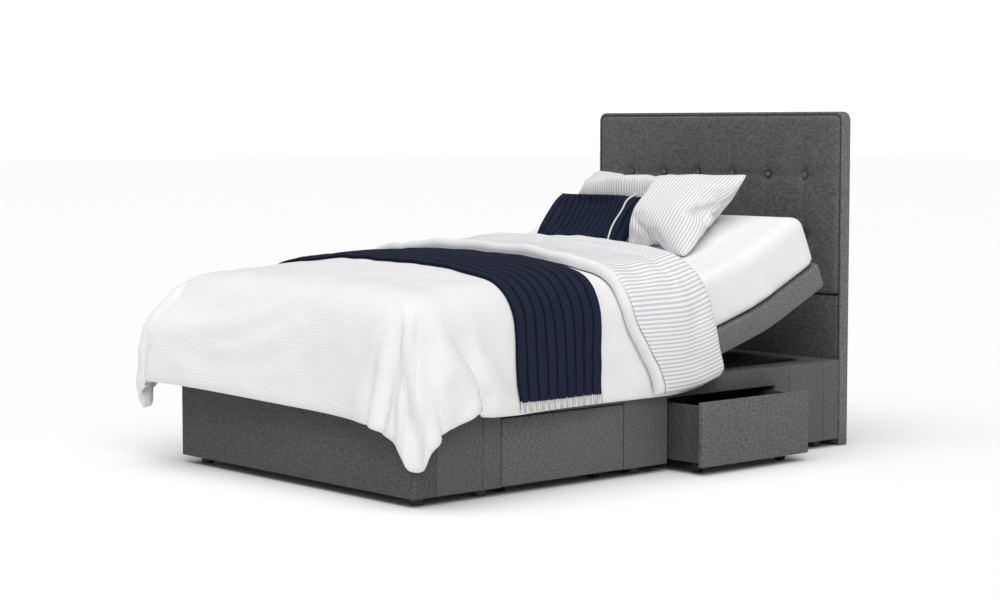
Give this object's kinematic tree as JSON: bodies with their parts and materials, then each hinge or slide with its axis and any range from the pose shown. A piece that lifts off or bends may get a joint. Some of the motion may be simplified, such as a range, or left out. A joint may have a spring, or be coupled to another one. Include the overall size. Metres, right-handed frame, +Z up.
{
  "type": "adjustable bed base",
  "caption": "Upholstered divan bed with a motor-folded deck, two castored side drawers, a buttoned headboard, and a mattress, duvet, runner and pillows.",
  "frame": {"origin": "on the floor under the centre support leg, at the middle of the base", "axes": "+X towards the drawer side, +Y towards the headboard, +Z up"},
  "size_m": [1.446, 2.063, 1.15],
  "materials": {
    "base_fabric": "grey woven upholstery over timber",
    "drawer_fabric": "grey woven upholstery over board",
    "drawer_timber": "dark laminated board",
    "headboard_fabric": "grey woven upholstery over foam",
    "timber": "plain sawn softwood and plywood",
    "steel": "black powder coat",
    "bright_steel": "zinc plated",
    "drive_plastic": "moulded housing",
    "castor_plastic": "nylon",
    "glide_plastic": "moulded glide",
    "mattress_fabric": "white fitted sheet over foam",
    "duvet_fabric": "white cotton, striped reverse",
    "runner_fabric": "navy cloth with an off-white pleated trim",
    "pillow_fabric": "white cotton",
    "cushion_fabric": "navy pleated cloth with white piping"
  },
  "bodies": {
    "base": {"foot_panel": "base_fabric", "head_rail": "base_fabric", "side_wall_left": "base_fabric", "side_wall_foot_end": "base_fabric", "side_wall_head_end": "base_fabric", "drawer_posts": "base_fabric", "drawer_top_rail": "base_fabric", "centre_wall": "timber", "floor_glides": "glide_plastic", "chassis_rails": "steel", "chassis_cross_tubes": "steel", "centre_leg": "steel", "headboard_cushion": "headboard_fabric", "headboard_board": "timber", "headboard_border": "headboard_fabric", "headboard_lower_panel": "headboard_fabric", "headboard_buttons": "headboard_fabric", "headboard_struts": "timber", "headboard_bolts": "bright_steel", "seat_deck": "base_fabric", "seat_hinge_shafts": "bright_steel", "seat_knuckles": "steel", "head_motor": "drive_plastic", "leg_motor": "drive_plastic", "control_box": "drive_plastic", "mattress_seat": "mattress_fabric", "duvet_seat": "duvet_fabric"},
    "lumbar_section": {"lumbar_deck": "base_fabric", "lumbar_knuckles": "steel", "back_hinge_shaft": "bright_steel", "mattress_lumbar": "mattress_fabric", "duvet_lumbar": "duvet_fabric"},
    "back_section": {"back_deck": "base_fabric", "back_knuckles": "steel", "mattress_back": "mattress_fabric", "pillow": "pillow_fabric", "cushion": "cushion_fabric"},
    "thigh_section": {"thigh_deck": "base_fabric", "thigh_knuckles": "steel", "knee_hinge_shaft": "bright_steel", "mattress_thigh": "mattress_fabric", "duvet_thigh": "duvet_fabric", "runner_upper": "runner_fabric"},
    "calf_section": {"calf_deck": "base_fabric", "calf_knuckles": "steel", "mattress_calf": "mattress_fabric", "duvet_calf": "duvet_fabric", "runner_lower": "runner_fabric"},
    "head_rod": {"head_motor_rod": "bright_steel"},
    "leg_rod": {"leg_motor_rod": "bright_steel"},
    "foot_drawer": {"foot_drawer_front": "drawer_fabric", "foot_drawer_box": "drawer_timber", "foot_drawer_castors": "castor_plastic"},
    "foot_drawer_front_axle_wheels": {"foot_drawer_front_wheels": "castor_plastic"},
    "foot_drawer_rear_axle_wheels": {"foot_drawer_rear_wheels": "castor_plastic"},
    "head_drawer": {"head_drawer_front": "drawer_fabric", "head_drawer_box": "drawer_timber", "head_drawer_castors": "castor_plastic"},
    "head_drawer_front_axle_wheels": {"head_drawer_front_wheels": "castor_plastic"},
    "head_drawer_rear_axle_wheels": {"head_drawer_rear_wheels": "castor_plastic"}
  },
  "joints": [
    {"name": "lumbar_tilt", "type": "hinge", "parent": "base", "child": "lumbar_section", "pos_m": [0, 0.15, 0.35], "axis": [1, 0, 0], "range_deg": [-16.5, 23.5], "deforming": ["duvet_seat", "duvet_lumbar"]},
    {"name": "back_tilt", "type": "hinge", "parent": "lumbar_section", "child": "back_section", "pos_m": [0, 0.56421, 0.47269], "axis": [1, 0, 0], "range_deg": [-8.51, 12.12]},
    {"name": "thigh_lift", "type": "hinge", "parent": "base", "child": "thigh_section", "pos_m": [0, -0.06, 0.35], "axis": [-1, 0, 0], "range_deg": [0, 25], "deforming": ["duvet_thigh", "runner_upper"]},
    {"name": "knee_bend", "type": "hinge", "parent": "thigh_section", "child": "calf_section", "pos_m": [0, -0.35, 0.312], "axis": [1, 0, 0], "range_deg": [0, 36.52], "deforming": ["duvet_calf", "runner_lower"]},
    {"name": "head_drive_stroke", "type": "slide", "parent": "base", "child": "head_rod", "axis": [0, 1, 0], "range_m": [-0.0437, 0.0622]},
    {"name": "leg_drive_stroke", "type": "slide", "parent": "base", "child": "leg_rod", "axis": [0, -1, 0], "range_m": [0, 0.0645]},
    {"name": "foot_drawer_slide", "type": "slide", "parent": "base", "child": "foot_drawer", "axis": [1, 0, 0], "range_m": [0, 0.45]},
    {"name": "head_drawer_slide", "type": "slide", "parent": "base", "child": "head_drawer", "axis": [1, 0, 0], "range_m": [-0.15, 0.3]},
    {"name": "foot_drawer_front_wheel_spin", "type": "hinge", "parent": "foot_drawer", "child": "foot_drawer_front_axle_wheels", "pos_m": [0.525, -0.35475, 0.015], "axis": [0, 1, 0], "continuous": true},
    {"name": "foot_drawer_rear_wheel_spin", "type": "hinge", "parent": "foot_drawer", "child": "foot_drawer_rear_axle_wheels", "pos_m": [0.16, -0.35475, 0.015], "axis": [0, 1, 0], "continuous": true},
    {"name": "head_drawer_front_wheel_spin", "type": "hinge", "parent": "head_drawer", "child": "head_drawer_front_axle_wheels", "pos_m": [0.675, 0.35475, 0.015], "axis": [0, 1, 0], "continuous": true},
    {"name": "head_drawer_rear_wheel_spin", "type": "hinge", "parent": "head_drawer", "child": "head_drawer_rear_axle_wheels", "pos_m": [0.31, 0.35475, 0.015], "axis": [0, 1, 0], "continuous": true}
  ],
  "couplings": [
    {"joint": "back_tilt", "follows": "lumbar_tilt", "ratio": 0.51515},
    {"joint": "head_drive_stroke", "follows": "lumbar_tilt", "m_per_rad": 0.15119},
    {"joint": "knee_bend", "follows": "thigh_lift", "ratio": 1.46},
    {"joint": "leg_drive_stroke", "follows": "thigh_lift", "m_per_rad": 0.14735}
  ]
}
